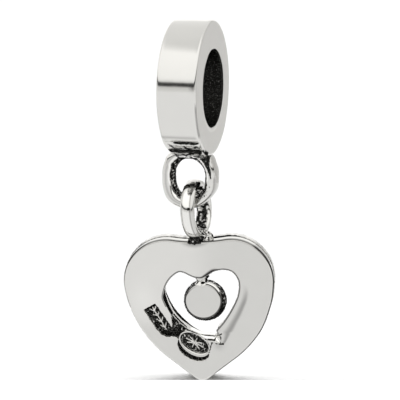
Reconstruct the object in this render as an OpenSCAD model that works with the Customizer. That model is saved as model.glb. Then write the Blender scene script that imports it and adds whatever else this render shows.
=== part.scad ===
// Dangle charm: an open heart drop that swings on the ear of a bead bail.
// Millimetres. X runs along the bore, Z is up, and the heart's plain back faces -Y.
// The origin is the middle of the bore, where the bracelet holds the charm.

/* [Bead] */
// Outer diameter of the bead
bead_d = 8.42; // [8.2:0.02:8.8]
// Diameter of the bore that takes the bracelet
bore_d = 4.8; // [4.6:0.1:5]
// Width of the bead along its bore
bead_w = 2.46; // [2.3:0.02:2.6]
// Rounding of the bead's outer edges
bead_edge_r = 0.28; // [0.1:0.02:0.34]
// Chamfer at both mouths of the bore
bore_chamfer = 0.08; // [0.04:0.01:0.12]

/* [Ear] */
// Radius of the ear's arcs along the middle of its wall
ear_mid_r = 1.41; // [1.35:0.01:1.45]
// Wall of the ear across its hole
ear_wall = 0.78; // [0.7:0.01:0.8]
// Depth of the ear from front to back
ear_depth = 1.4; // [1.2:0.05:1.5]
// Rounding of the ear's edges
ear_edge_r = 0.37; // [0.3:0.01:0.38]
// Straight length between the ear's two arcs
ear_straight = 0.4; // [0.2:0.05:0.5]
// How far the ear's upper arc is centred below the middle of the bore
ear_drop = 5.46; // [5.4:0.01:5.5]
// How far the ear stands off the bead's middle plane
ear_shift = -0.24; // [-0.3:0.02:0]
// How far the wide collar's edge stands outside the ear
collar_reach = 0.3; // [0.2:0.02:0.5]
// Height of each of the two collar steps over the bead
collar_step = 0.09; // [0.06:0.01:0.12]

/* [Ring] */
// Diameter of the ring along the middle of its wire
ring_mid_d = 3.28; // [3.2:0.02:3.4]
// Thickness of the ring's wire across the ring
ring_wall = 0.56; // [0.5:0.02:0.6]
// Width of the ring's wire along its axis
ring_w = 0.82; // [0.7:0.02:0.9]
// Play between the ring and the ear that it hangs on
ring_play = 0.52; // [0.3:0.02:0.6]
// Turn of the ring about the vertical
ring_yaw = -5; // [-8:1:0]
// Lean of the ring towards one side
ring_lean = 5; // [0:1:6]
// How far the ring stands off the bead's middle plane
ring_shift = 0.1; // [-0.1:0.01:0.1]

/* [Heart] */
// Turn of the heart about the vertical
heart_yaw = 10; // [5:1:10]
// Lean of the heart's tip towards one side
heart_lean = 1.8; // [0:0.1:3]
// How far the heart's middle stands off the bead's middle plane
heart_shift = 0.3; // [0.2:0.01:0.4]
// How far the heart's middle lies behind the ring's, so that the drop hangs upright
heart_set = -0.08; // [-0.1:0.01:0]
// Radius of the two lobes
lobe_r = 2.76; // [2.7:0.01:2.8]
// Distance of a lobe's centre from the heart's middle
lobe_x = 2.08; // [2.04:0.01:2.12]
// Depth of a lobe's centre below the notch
lobe_down = 2.6; // [2.56:0.01:2.64]
// Depth of the flanks' meeting point below the notch
tip_down = 9.38; // [9.2:0.01:9.5]
// Angle of each flank from the vertical
flank_angle = 52; // [51:0.5:53]
// Rounding of the tip
tip_r = 0.8; // [0.4:0.05:1]
// Thickness of the back layer
back_t = 0.85; // [0.8:0.05:0.95]
// Thickness of the wider front layer
front_t = 0.8; // [0.75:0.05:0.9]
// How far the front layer stands outside the back layer
front_lip = 0.04; // [0.02:0.01:0.12]
// How deep the ring's foot sits in the notch
ring_bite = 0.06; // [0.04:0.01:0.12]
// Height of the solder around the ring's foot
solder_h = 0.3; // [0.2:0.02:0.36]

/* [Opening] */
// Radius of the opening's right lobe
open_right_r = 0.99; // [0.96:0.01:1.02]
// Radius of the opening's left lobe
open_left_r = 0.93; // [0.9:0.01:0.96]
// Radius of the cup's back face
cup_back_r = 1.07; // [1.02:0.01:1.12]
// Radius of the cup at the front
cup_front_r = 1.38; // [1.3:0.01:1.42]
// Length of the cup from back to front
cup_t = 1.3; // [1.1:0.05:1.4]
// How far the cup's back lies in front of the heart's back
cup_sink = 0.08; // [0:0.02:0.2]
// Tilt of the cup's back face upwards
cup_tilt = 13; // [8:1:16]
// Width of the neck that carries the cup
neck_w = 0.66; // [0.55:0.01:0.72]

/* [Back relief] */
// Depth of the sunken panel in the back
panel_depth = 0.34; // [0.25:0.01:0.4]
// Length of the oval tag
tag_l = 2.2; // [2.1:0.02:2.3]
// Width of the oval tag
tag_w = 1.44; // [1.36:0.02:1.5]
// Width of the tag's raised rim
tag_rim = 0.13; // [0.1:0.01:0.2]
// Depth of the tag's floor under its rim
tag_floor = 0.14; // [0.08:0.01:0.2]
// Height of the plain raised marks
mark_h = 0.1; // [0.06:0.01:0.12]

/* [Hidden] */
$fn = 96;
SILVER = [0.83, 0.82, 0.8];
// Slack added to a cut so that it runs past the faces that it opens
CUT = 0.5;

bead_r = bead_d / 2;
bore_r = bore_d / 2;
ear_low = ear_drop + ear_straight;
// The drop turns about the middle of the ear's lowest wall
hinge_z = -ear_low - ear_mid_r;
ring_z = hinge_z + ear_wall / 2 + ring_play + ring_wall / 2 - ring_mid_d / 2;
ring_foot_z = ring_z - ring_mid_d / 2 - ring_wall / 2;
// Top of the back layer in the middle of the notch
notch_z = ring_foot_z + ring_bite - front_lip;

heart_t = back_t + front_t;
back_y = -heart_t / 2;
layer_y = back_y + back_t;
front_y = heart_t / 2;

function polar(r, a) = r * [cos(a), sin(a)];
function mirrored(p) = [-p[0], p[1]];
// Points on an arc from angle a to angle b, without the first one when from is 1
function arc_points(c, r, a, b, n, from = 0) =
    [for (i = [from : n]) c + polar(r, a + (b - a) * i / n)];
// Points on a curve with one control point, without its first point
function curve_points(c, n) =
    [for (i = [1 : n]) let (t = i / n) pow(1 - t, 2) * c[0] + 2 * t * (1 - t) * c[1] + t * t * c[2]];
function reversed(v) = [for (i = [len(v) - 1 : -1 : 0]) v[i]];

// Outline of the heart, with its origin in the notch: a shallow notch arc, a lobe arc,
// a side arc and a straight flank on each side, and a rounded tip
lobe_c = [lobe_x, -lobe_down];
notch_r = (lobe_x * lobe_x + lobe_down * lobe_down - lobe_r * lobe_r) / (2 * (lobe_r - lobe_down));
notch_a = 180 - atan2(notch_r + lobe_down, lobe_x);
lobe_end_a = -8;
flank = [sin(flank_angle), cos(flank_angle)];
lobe_end = lobe_c + polar(lobe_r, lobe_end_a);
side_turn = polar(1, -flank_angle) - polar(1, lobe_end_a);
// The side arc's radius makes the flank that leaves it run through the tip
side_r = (lobe_end[0] * flank[1] - (lobe_end[1] + tip_down) * flank[0])
    / (side_turn[1] * flank[0] - side_turn[0] * flank[1]);
side_c = lobe_end - polar(side_r, lobe_end_a);
tip_c = [0, -tip_down + tip_r / sin(flank_angle)];
notch_turn = atan2(lobe_x, notch_r + lobe_down);
// Right half of the outline grown outwards by e, from the notch to the tip
function heart_half(e) = concat(
    arc_points([0, notch_r], notch_r - e, -90, -90 + notch_turn, 6),
    arc_points(lobe_c, lobe_r + e, notch_a, lobe_end_a, 26, 1),
    arc_points(side_c, side_r + e, lobe_end_a, -flank_angle, 14, 1),
    arc_points(tip_c, tip_r + e, -flank_angle, -90, 8, 1)
);
function heart_points(e) =
    let (half = heart_half(e))
    concat(half, [for (i = [len(half) - 2 : -1 : 1]) mirrored(half[i])]);

// The opening: two lobes and a V at the top, a curve that bends into a straight on the lower
// left, and a flatter curve on the right that ends in a short step at the tip, off the middle
open_right_c = [1.53, -2.83];
open_left_c = [-1.25, -2.93];
open_v = [0.14, -2.47];
open_tip = [1.05, -6.56];
open_right = [open_right_c + polar(open_right_r, -10), [2.04, -4.91], [0.9, -5.9]];
open_left = [open_left_c + polar(open_left_r, 190), [-2.01, -5.41], [-0.25, -6.32]];
opening_points = concat(
    [open_v],
    arc_points(open_left_c, open_left_r, 42, 190, 20),
    curve_points(open_left, 14),
    [open_tip],
    reversed(curve_points(open_right, 14)),
    arc_points(open_right_c, open_right_r, -10, 145, 20, 1)
);

// Corners of the sunken panel, from the top of its rectangular end round to the opening
panel_points = [
    [-2.87, -4.03], [-3.6, -4.45], [-2.82, -5.74], [-2.52, -6.12], [-2.21, -6.23],
    [-1.67, -6.19], [-1.2, -6.2], [-0.4, -6.6], [0.1, -6.6], [0.2, -6.2], [-0.6, -5.7],
    [-1.2, -5.2], [-1.7, -4.6], [-1.84, -4.9], [-1.8, -5.3], [-1.88, -5.6]
];
plaque_c = [-2.72, -4.98];
plaque_a = -56;
tag_c = [-0.43, -6.72];
tag_a = -37;
moat_shift = [-0.17, -0.3];

// Rectangle with rounded corners, centred
module rounded_rect(w, h, r) {
    square([w - 2 * r, h], center = true);
    square([w, h - 2 * r], center = true);
    for (x = [-1, 1], y = [-1, 1])
        translate([x * (w / 2 - r), y * (h / 2 - r)]) circle(r);
}

// Flat shape drawn in the heart's plane, from depth y0 to depth y1
module slab(y0, y1) {
    translate([0, y1, 0]) rotate([90, 0, 0]) linear_extrude(y1 - y0) children();
}

// Ellipse as a polygon, with its long axis turned by a
module oval(l, w, a) {
    points = 40;
    rotate(a) polygon([for (i = [0 : points - 1])
        [l / 2 * cos(360 * i / points), w / 2 * sin(360 * i / points)]]);
}

// Bead with a rounded rim and a chamfered bore, on the X axis
module bead() {
    wall = bead_r - bore_r;
    rotate([0, 90, 0]) difference() {
        rotate_extrude() {
            translate([bore_r + wall / 2, 0]) rounded_rect(wall, bead_w, bead_edge_r);
            translate([bore_r, -bead_w / 2]) square([bead_edge_r, bead_w]);
        }
        for (s = [-1, 1])
            translate([0, 0, s * (bead_w / 2 - bore_chamfer)])
                mirror([0, 0, s < 0 ? 1 : 0])
                    cylinder(h = CUT + bore_chamfer, r1 = bore_r, r2 = bore_r + bore_chamfer + CUT);
    }
}

// Two thin collars that the ear's foot leaves on the bead, each within a circle round the ear's hole
module collars() {
    for (i = [0, 1])
        intersection() {
            rotate([0, 90, 0])
                cylinder(h = bead_w - 1.3 * bead_edge_r - 0.1 * i, r = bead_r + (i + 1) * collar_step, center = true);
            translate([0, 0, -ear_drop]) rotate([90, 0, 0])
                cylinder(h = bead_d, r = ear_mid_r + ear_wall / 2 + (1 - i) * collar_reach,
                    center = true);
        }
}

// Rounded section of the ear's wall
module ear_section() {
    rounded_rect(ear_wall, ear_depth, ear_edge_r);
}

// Oval ear with rounded edges, in the plane of the bore's axis: two arcs and two straight legs
module ear() {
    translate([ear_shift, 0, 0]) {
        for (end = [0, 1])
            translate([0, 0, end == 0 ? -ear_drop : -ear_low]) rotate([90, 0, 0])
                rotate_extrude(angle = 180, start = end * 180)
                    translate([ear_mid_r, 0]) ear_section();
        for (s = [-1, 1])
            translate([s * ear_mid_r, 0, -ear_low]) linear_extrude(ear_straight) ear_section();
    }
}

module bead_bail() {
    color(SILVER) difference() {
        union() {
            bead();
            collars();
            ear();
        }
        rotate([0, 90, 0]) cylinder(h = bead_w + 2 * CUT, r = bore_r, center = true);
        translate([ear_shift, 0, 0]) rotate([90, 0, 0])
            linear_extrude(bead_d + 2 * CUT, center = true) {
                for (z = [-ear_drop, -ear_low])
                    translate([0, z]) circle(ear_mid_r - ear_wall / 2);
                translate([0, -(ear_drop + ear_low) / 2])
                    square([2 * ear_mid_r - ear_wall, ear_straight], center = true);
            }
    }
}

// Closed ring of flattened wire soldered upright into the notch, with the solder round its foot
module ring() {
    translate([ring_shift, 0, ring_z]) rotate([0, -ring_lean, 0]) rotate([0, 0, ring_yaw])
        rotate([0, 90, 0]) rotate_extrude()
            translate([ring_mid_d / 2, 0]) rounded_rect(ring_wall, ring_w, 0.27);
}

module solder() {
    translate([ring_shift + 0.13, 0, notch_z - 0.3]) rotate([0, 0, ring_yaw])
        linear_extrude(0.3 + solder_h) rounded_rect(ring_w + 0.26, 1.36, 0.3);
}

// Flaring cup back, tilted, and the neck that carries it from the V of the opening
module cup() {
    translate([0.19, back_y + cup_sink, -3.79]) rotate([-90 - cup_tilt, 0, 0])
        cylinder(h = cup_t, r1 = cup_back_r, r2 = cup_front_r);
    slab(back_y + 0.3, layer_y + 0.4)
        translate([open_v[0] - neck_w / 2, -3.4]) square([neck_w, 3.4 + open_v[1] + 0.3]);
}

// Three raised chevrons in the sunken panel and a small cross in the tag, as plain marks
module marks() {
    floor_y = back_y + panel_depth;
    slab(floor_y - mark_h, floor_y + 0.05)
        translate(plaque_c) rotate(plaque_a) for (i = [-1, 0, 1])
            translate([i * 0.42, 0]) for (s = [-1, 1])
                rotate(s * 60) translate([-0.04, -0.04]) square([0.3, 0.09]);
    slab(back_y + tag_floor - 0.02 - mark_h, back_y + tag_floor + 0.05)
        translate(tag_c) rotate(tag_a) for (a = [45, 135])
            rotate(a) square([0.5, 0.12], center = true);
}

module heart_drop() {
    floor_y = back_y + panel_depth;
    color(SILVER) {
        translate([0, 0, notch_z]) rotate([0, 0, heart_yaw]) translate([heart_shift, heart_set, 0])
            rotate([0, -heart_lean, 0]) {
            difference() {
                union() {
                    slab(back_y, layer_y) polygon(heart_points(0));
                    slab(layer_y, front_y) polygon(heart_points(front_lip));
                }
                slab(back_y - CUT, front_y + CUT) polygon(opening_points);
                slab(back_y - CUT, floor_y) union() {
                    polygon(panel_points);
                    translate(tag_c + moat_shift) oval(tag_l, tag_w, tag_a);
                }
            }
            difference() {
                slab(back_y + 0.02, floor_y + 0.05) translate(tag_c) oval(tag_l, tag_w, tag_a);
                slab(back_y - CUT, back_y + 0.02 + tag_floor)
                    translate(tag_c) oval(tag_l - 2 * tag_rim, tag_w - 2 * tag_rim, tag_a);
            }
            marks();
            cup();
        }
        ring();
        solder();
    }
}

bead_bail();
heart_drop();
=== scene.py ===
"""A dangle charm: an open silver heart that hangs by a soldered ring on the ear of a thick bead.

Every new piece is a surface worked out in millimetres with numpy, as a function of two
parameters on a grid, and put into the frame in metres. Blackened silver is the vertex
attribute "oxide", from 0 (polished) to 1 (black and grainy). The attribute "shade" darkens
the metal smoothly: it is painted shade along edges and creases and where parts meet, with a
few darker patches besides, and below 0 it is a painted highlight that brightens the metal.
"""

import bpy
import numpy as np
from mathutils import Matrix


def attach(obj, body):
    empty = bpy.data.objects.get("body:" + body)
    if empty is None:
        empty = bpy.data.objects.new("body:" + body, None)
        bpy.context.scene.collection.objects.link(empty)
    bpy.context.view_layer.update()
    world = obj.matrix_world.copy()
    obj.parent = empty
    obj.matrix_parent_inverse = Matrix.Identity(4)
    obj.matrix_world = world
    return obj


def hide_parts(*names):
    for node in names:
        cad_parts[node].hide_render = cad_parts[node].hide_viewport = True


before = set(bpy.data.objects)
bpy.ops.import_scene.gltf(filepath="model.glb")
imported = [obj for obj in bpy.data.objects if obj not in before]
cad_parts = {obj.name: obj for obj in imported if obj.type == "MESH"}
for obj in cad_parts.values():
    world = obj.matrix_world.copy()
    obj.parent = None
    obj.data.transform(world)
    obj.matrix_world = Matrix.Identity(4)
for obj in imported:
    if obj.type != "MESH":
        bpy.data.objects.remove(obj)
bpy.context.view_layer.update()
MM = 0.001

# Sizes in millimetres, the same as in the part's source
BEAD_R, BORE_R, BEAD_W = 4.21, 2.4, 2.46
EAR_R, EAR_WALL, EAR_DEPTH, EAR_X = 1.41, 0.78, 1.4, -0.24
EAR_HIGH, EAR_LOW = -5.46, -5.86
HINGE_Z = EAR_LOW - EAR_R
RING_R, RING_WALL, RING_W, RING_PLAY, RING_BITE = 1.64, 0.56, 0.82, 0.52, 0.06
RING_Z = HINGE_Z + EAR_WALL / 2 + RING_PLAY + RING_WALL / 2 - RING_R
RING_SHIFT, RING_LEAN, RING_YAW = 0.1, 5, -5
BACK_T, FRONT_T, LIP = 0.85, 0.8, 0.04
NOTCH_Z = RING_Z - RING_R - RING_WALL / 2 + RING_BITE - LIP
HEART_T = BACK_T + FRONT_T


# ------------ helpers

def ramp(x, low, high):
    """0 below low, 1 above high, and a smooth cubic rise between them."""
    t = np.clip((x - low) / (high - low), 0.0, 1.0)
    return t * t * (3.0 - 2.0 * t)


def bump_at(x, middle, width):
    """A bell of height 1 at the middle that fades over the width."""
    return np.exp(-((x - middle) / width) ** 2)


def most(*fields):
    """The largest of several fields at each point."""
    out = fields[0]
    for f in fields[1:]:
        out = np.maximum(out, f)
    return out


def direction(degrees):
    """Unit vector at an angle in degrees."""
    return np.array([np.cos(np.radians(degrees)), np.sin(np.radians(degrees))])


# Large numbers that mix a lattice point's indices and the seed, and then shifts and factors
# that stir the mix
INDEX_MIX = 374761393, 668265263, 2147483647, 1274126177
STIRS = (13, 1103515245), (16, 2654435761)


def lattice(i, j, k, seed):
    """A random number from 0 to 1 for each whole lattice point, mixed from its three indices."""
    h = sum(n * m for n, m in zip((i, j, k, seed), INDEX_MIX)) & 0xFFFFFFFF
    for shift, factor in STIRS:
        h = ((h ^ (h >> shift)) * factor) & 0xFFFFFFFF
    return ((h ^ (h >> 15)) & 0xFFFFFF) / float(0xFFFFFF)


def grain(p, cell, seed):
    """Smooth noise from -1 to 1: random values on a lattice of the cell's size, blended between."""
    q = np.asarray(p) / cell
    low = np.floor(q).astype(np.int64)
    f = q - low
    f = f * f * (3.0 - 2.0 * f)
    total = 0.0
    for a in (0, 1):
        for b in (0, 1):
            for c in (0, 1):
                w = (np.where(a, f[..., 0], 1 - f[..., 0]) * np.where(b, f[..., 1], 1 - f[..., 1])
                     * np.where(c, f[..., 2], 1 - f[..., 2]))
                total = total + w * lattice(low[..., 0] + a, low[..., 1] + b, low[..., 2] + c, seed)
    return total * 2.0 - 1.0


def turn(axis, degrees):
    """Rotation matrix about one axis by the right-hand rule."""
    c, s = np.cos(np.radians(degrees)), np.sin(np.radians(degrees))
    return np.array({"x": [[1, 0, 0], [0, c, -s], [0, s, c]],
                     "y": [[c, 0, s], [0, 1, 0], [-s, 0, c]],
                     "z": [[c, -s, 0], [s, c, 0], [0, 0, 1]]}[axis], float)


def put(points, matrix, shift):
    """Turn points by the matrix, then move them by the shift."""
    return points @ matrix.T + np.asarray(shift, float)


def in_scene(name, data):
    """A new object in the scene."""
    piece = bpy.data.objects.new(name, data)
    bpy.context.scene.collection.objects.link(piece)
    return piece


def surface(name, points, body, material, oxide=0.0, shade=0.0, replaces=(), poles=False):
    """A closed surface from a grid of points, in millimetres.

    Rows run round the piece and always close. Columns close too, unless poles is set: then
    the first and last columns each shrink to one point.
    """
    rows, cols = points.shape[:2]
    oxide, shade = (np.broadcast_to(f, (rows, cols)).astype(np.float32) for f in (oxide, shade))
    index = np.arange(rows * cols).reshape(rows, cols)
    used, tris = index.ravel(), np.zeros((0, 3), int)
    a, b = index, np.roll(index, -1, 1)
    if poles:
        first, last, inner = index[0, 0], index[0, -1], index[:, 1:-1]
        a, b, start, end = inner[:, :-1], inner[:, 1:], inner[:, 0], inner[:, -1]
        tris = np.concatenate([
            np.stack([np.full(rows, first), np.roll(start, -1), start], -1),
            np.stack([np.full(rows, last), end, np.roll(end, -1)], -1)])
        used = np.concatenate([[first, last], inner.ravel()])
    quads = np.stack([a, np.roll(a, -1, 0), np.roll(b, -1, 0), b], -1).reshape(-1, 4)
    v = points.reshape(-1, 3)
    t = np.concatenate([quads[:, [0, 1, 2]], quads[:, [0, 2, 3]], tris])
    volume = np.einsum("ij,ij->i", v[t[:, 0]], np.cross(v[t[:, 1]], v[t[:, 2]])).sum()
    if volume < 0:
        quads, tris = quads[:, ::-1], tris[:, ::-1]
    renumber = np.zeros(rows * cols, int)
    renumber[used] = np.arange(len(used))
    mesh = bpy.data.meshes.new(name)
    mesh.vertices.add(len(used))
    mesh.vertices.foreach_set("co", (v[used] * MM).astype(np.float32).ravel())
    loops = np.concatenate([renumber[quads].ravel(), renumber[tris].ravel()]).astype(np.int32)
    sizes = np.concatenate([np.full(len(quads), 4), np.full(len(tris), 3)])
    starts = np.concatenate([[0], np.cumsum(sizes)[:-1]]).astype(np.int32)
    mesh.loops.add(len(loops))
    mesh.loops.foreach_set("vertex_index", loops)
    mesh.polygons.add(len(sizes))
    mesh.polygons.foreach_set("loop_start", starts)
    mesh.update(calc_edges=True)
    mesh.validate()
    mesh.polygons.foreach_set("use_smooth", np.ones(len(mesh.polygons), bool))
    for key, field in (("oxide", oxide), ("shade", shade)):
        layer = mesh.attributes.new(key, "FLOAT", "POINT")
        layer.data.foreach_set("value", field.ravel()[used])
    mesh.materials.append(material)
    piece = in_scene(name, mesh)
    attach(piece, body)
    if replaces:
        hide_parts(*replaces)
    return piece


# ------------ finishes

# The silver's colours: polished, in two tones that drift over it, a painted highlight, and
# painted shade along the edges; then the black and the grains of metal in it
POLISHED = (0.612, 0.606, 0.586, 1), (0.642, 0.636, 0.615, 1)
PAINTED_HIGHLIGHT, PAINTED_SHADE = (0.84, 0.835, 0.812, 1), (0.022, 0.021, 0.020, 1)
BLACK, DUST = (0.010, 0.010, 0.009, 1), (0.34, 0.335, 0.32, 1)
def silver_finish():
    """Polished cast silver that turns black and grainy where the attribute oxide is high.

    Fine noise breaks up the border of the black, dusts its grains with metal, and gives
    the polished metal the faint waves and hairlines of hand polishing. The scales of the
    noise are in cells per metre.
    """
    mat = bpy.data.materials.new("silver_polished_and_blackened")
    mat.use_nodes = True
    nodes, links = mat.node_tree.nodes, mat.node_tree.links
    shader = nodes["Principled BSDF"]
    shader.inputs["Metallic"].default_value = 1.0
    place = nodes.new("ShaderNodeTexCoord").outputs["Object"]

    def noise(scale, detail, rough=0.5):
        n = nodes.new("ShaderNodeTexNoise")
        n.inputs["Scale"].default_value = scale
        n.inputs["Detail"].default_value = detail
        n.inputs["Roughness"].default_value = rough
        links.new(place, n.inputs["Vector"])
        return n.outputs["Fac"]

    def math(kind, a, b, clamp=False):
        n = nodes.new("ShaderNodeMath")
        n.operation, n.use_clamp = kind, clamp
        for socket, value in zip(n.inputs, (a, b)):
            if isinstance(value, (int, float)):
                socket.default_value = value
            else:
                links.new(value, socket)
        return n.outputs[0]

    def fade(value, low, high, out_low=0.0, out_high=1.0):
        n = nodes.new("ShaderNodeMapRange")
        n.interpolation_type = "SMOOTHSTEP"
        for key, number in (("From Min", low), ("From Max", high),
                            ("To Min", out_low), ("To Max", out_high)):
            n.inputs[key].default_value = number
        links.new(value, n.inputs["Value"])
        return n.outputs["Result"]

    def mix(factor, a, b):
        n = nodes.new("ShaderNodeMix")
        n.data_type = "RGBA"
        links.new(factor, n.inputs["Factor"])
        for key, value in (("A", a), ("B", b)):
            socket = [s for s in n.inputs if s.name == key and s.type == "RGBA"][0]
            if isinstance(value, tuple):
                socket.default_value = value
            else:
                links.new(value, socket)
        return [s for s in n.outputs if s.type == "RGBA"][0]

    oxide, shade = (nodes.new("ShaderNodeAttribute") for _ in range(2))
    oxide.attribute_name, shade.attribute_name = "oxide", "shade"
    coarse, fine = noise(9000.0, 3.0, 0.6), noise(26000.0, 2.0)
    border = math("MULTIPLY", math("SUBTRACT", coarse, 0.5), 0.9)
    black = fade(math("ADD", oxide.outputs["Fac"], border), 0.36, 0.56)
    dust = math("MULTIPLY", fade(fine, 0.56, 0.72), fade(coarse, 0.42, 0.6))
    polished = mix(noise(900.0, 2.0), *POLISHED)
    blackened = mix(dust, BLACK, DUST)
    # painted shade where the attribute shade is above 0, and a painted highlight where it is below 0
    polished = mix(shade.outputs["Fac"], polished, PAINTED_SHADE)
    polished = mix(math("MULTIPLY", shade.outputs["Fac"], -1.0, True), polished, PAINTED_HIGHLIGHT)
    links.new(mix(black, polished, blackened), shader.inputs["Base Color"])
    links.new(mix(black, (1, 1, 1, 1), (0.25, 0.25, 0.25, 1)), shader.inputs["Specular Tint"])
    hairline = noise(60000.0, 2.0)
    rough = nodes.new("ShaderNodeMix")
    rough.data_type = "FLOAT"
    links.new(black, rough.inputs[0])
    links.new(fade(hairline, 0.3, 0.7, 0.075, 0.125), rough.inputs[2])
    rough.inputs[3].default_value = 0.42
    links.new(rough.outputs[0], shader.inputs["Roughness"])
    waves = math("MULTIPLY", noise(1400.0, 1.0), 0.10)
    grains = math("ADD", coarse, math("MULTIPLY", fine, 0.5))
    height = math("ADD", waves, math("MULTIPLY", grains, math("MULTIPLY", black, 1.3)))
    bump = nodes.new("ShaderNodeBump")
    bump.inputs["Strength"].default_value = 0.6
    bump.inputs["Distance"].default_value = 0.00004
    links.new(height, bump.inputs["Height"])
    links.new(bump.outputs["Normal"], shader.inputs["Normal"])
    return mat


silver = silver_finish()


# ------------ bead

def rounded_profile(half_w, low, high, r_low, r_high, steps, run_steps):
    """Closed section of the bead in (x, radius): four rounded corners joined by straight runs.

    Each corner takes so many steps; run_steps are those along the width and across an end face.
    """
    out = []
    corners = [(half_w - r_high, high - r_high, 0, r_high),
               (-(half_w - r_high), high - r_high, 90, r_high),
               (-(half_w - r_low), low + r_low, 180, r_low),
               (half_w - r_low, low + r_low, 270, r_low)]
    for n, (cx, cr, a, r) in enumerate(corners):
        t = np.radians(np.linspace(a, a + 90, steps + 1))
        arc = np.stack([cx + r * np.cos(t), cr + r * np.sin(t)], 1)
        next_x, next_r, b, next_round = corners[(n + 1) % 4]
        goal = np.array([next_x, next_r]) + next_round * direction(b)
        count = run_steps[n % 2]
        out += [arc, arc[-1] + (goal - arc[-1]) * (np.arange(1, count) / count)[:, None]]
    return np.concatenate(out)


def bead():
    """The bead: its rounded section carried round the X axis, a little crowned on the band.

    Near the bottom the band steps outwards in two low collars with a blackened crease above
    each, is grainy with solder below them, and both end faces draw in towards the ear. The
    bore's wall is black and pitted, and a black step crosses the bottom of the right end face.
    """
    rows, crown = 640, 0.02
    first_collar, second_collar = 44.0, 31.0
    section = rounded_profile(BEAD_W / 2, BORE_R, BEAD_R, 0.10, 0.17, 8, (14, 12))
    # the angle is 0 at the bottom, and the rows stand closer there
    t = np.linspace(-1, 1, rows, endpoint=False)
    angle = 180 * (0.45 * t + 0.55 * t ** 3)
    x = np.broadcast_to(section[:, 0], (rows, len(section))).copy()
    r = np.broadcast_to(section[:, 1], x.shape).copy()
    off = np.abs(np.broadcast_to(angle[:, None], x.shape))
    a = np.radians(angle)[:, None]
    outer = ramp(r, 3.9, 4.1)
    r += outer * crown * (1 - (x / (BEAD_W / 2)) ** 2)
    place = np.stack([x, r * np.sin(a), -r * np.cos(a)], -1)
    wobble = grain(place, 0.45, 3) * 1.3
    edge = outer * ramp(1.12 - np.abs(x), 0.0, 0.12)
    first = off + wobble - first_collar + 0.4 * x
    second = off + wobble - second_collar + 1.0 * x
    r += edge * (0.05 * ramp(-first, -0.8, 0.8) + 0.07 * ramp(-second, -0.8, 1.2))
    crease = np.maximum(bump_at(first, 0.6, 1.7) * ramp(x, -0.55, -0.40),
                        bump_at(second, 0.6, 3.6 + 1.2 * x))
    r -= edge * 0.07 * crease
    solder = edge * ramp(27.0 - off, 0, 2) * ramp(x, -1.0, -0.85)
    r += solder * 0.035 * grain(place, 0.16, 5)
    # the end faces draw in towards the ear, the left one more than the right one
    x *= 1 - (0.045 - 0.03 * np.sign(x)) * ramp(45 - off, 0, 26) * ramp(r, 3.0, 4.0)
    rim = bump_at(r, 2.59, 0.05) * ramp(np.abs(x), 1.1, 1.15)
    bore = ramp(2.45 + 0.10 * np.abs(np.sin(a)) - r, 0, 0.05)
    r += bore * 0.02 * grain(place, 0.12, 7)
    ridge = edge * ramp(43 - off, 0, 2) * ramp(off, 23, 26) * ramp(x, -1.0, -0.7)
    pits = grain(place, 0.13, 9)
    r += ridge * 0.02 * pits
    slant = place[..., 2] + 0.27 * (place[..., 1] + 2.0)
    step = (ramp(x, 1.08, 1.14) * bump_at(slant, -3.74 + 0.05 * pits, 0.19)
            * ramp(-place[..., 1], 0.95, 1.2))
    oxide = most(bore, edge * crease * (1.05 + 0.45 * pits), step * (0.9 + 0.3 * pits),
                 solder * (0.42 + 0.75 * pits), ridge * (0.36 + 0.75 * pits))
    # painted shade: a soft dark line across the band above the collars, a dark dab at the right end of the
    # band's reflected dark strip, and a dark line down the band's right corner; painted highlight: a bright
    # spot low on the left of the band and a bright line round the bore's rim
    corner = ramp(r, 4.04, 4.08) * ramp(x, 1.08, 1.13) * ramp(4.2 - r, 0, 0.03)
    shade = most(0.30 * outer * bump_at(off, 51.0, 1.8) * ramp(1.1 - x, 0, 0.15),
                 0.6 * outer * bump_at(off, 96.5, 2.5) * bump_at(x, 1.02, 0.13),
                 0.50 * corner * ramp(86 - off, 0, 8) * ramp(off, 48, 54))
    shade = (shade - 0.9 * edge * bump_at(off, 25.0, 2.0) * bump_at(x, -0.85, 0.16)
             - 0.8 * rim * ramp(130 - off, 0, 60))
    points = np.stack([x, r * np.sin(a), -r * np.cos(a)], -1)
    return surface("bead", points, "bail", silver, oxide, shade, ["bead_bail"])


# ------------ ear

def carried_section(path, side, across, radius_side, radius_across, power, count):
    """A rounded section carried along a closed path, and the angles of its points.

    The section is a superellipse: radius_side along side(t), radius_across along across.
    """
    a = np.linspace(0, 2 * np.pi, count, endpoint=False)
    c, s = np.cos(a), np.sin(a)
    u = np.sign(c) * np.abs(c) ** (2.0 / power) * radius_side
    w = np.sign(s) * np.abs(s) ** (2.0 / power) * radius_across
    return path[:, None] + side[:, None] * u[None, :, None] + across * w[None, :, None], a


# The line in x and z that the black seam follows down the ear's right leg
EAR_SEAM = np.array([(0.70, -4.15), (0.96, -4.59), (1.14, -5.03), (1.27, -5.55)])


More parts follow.
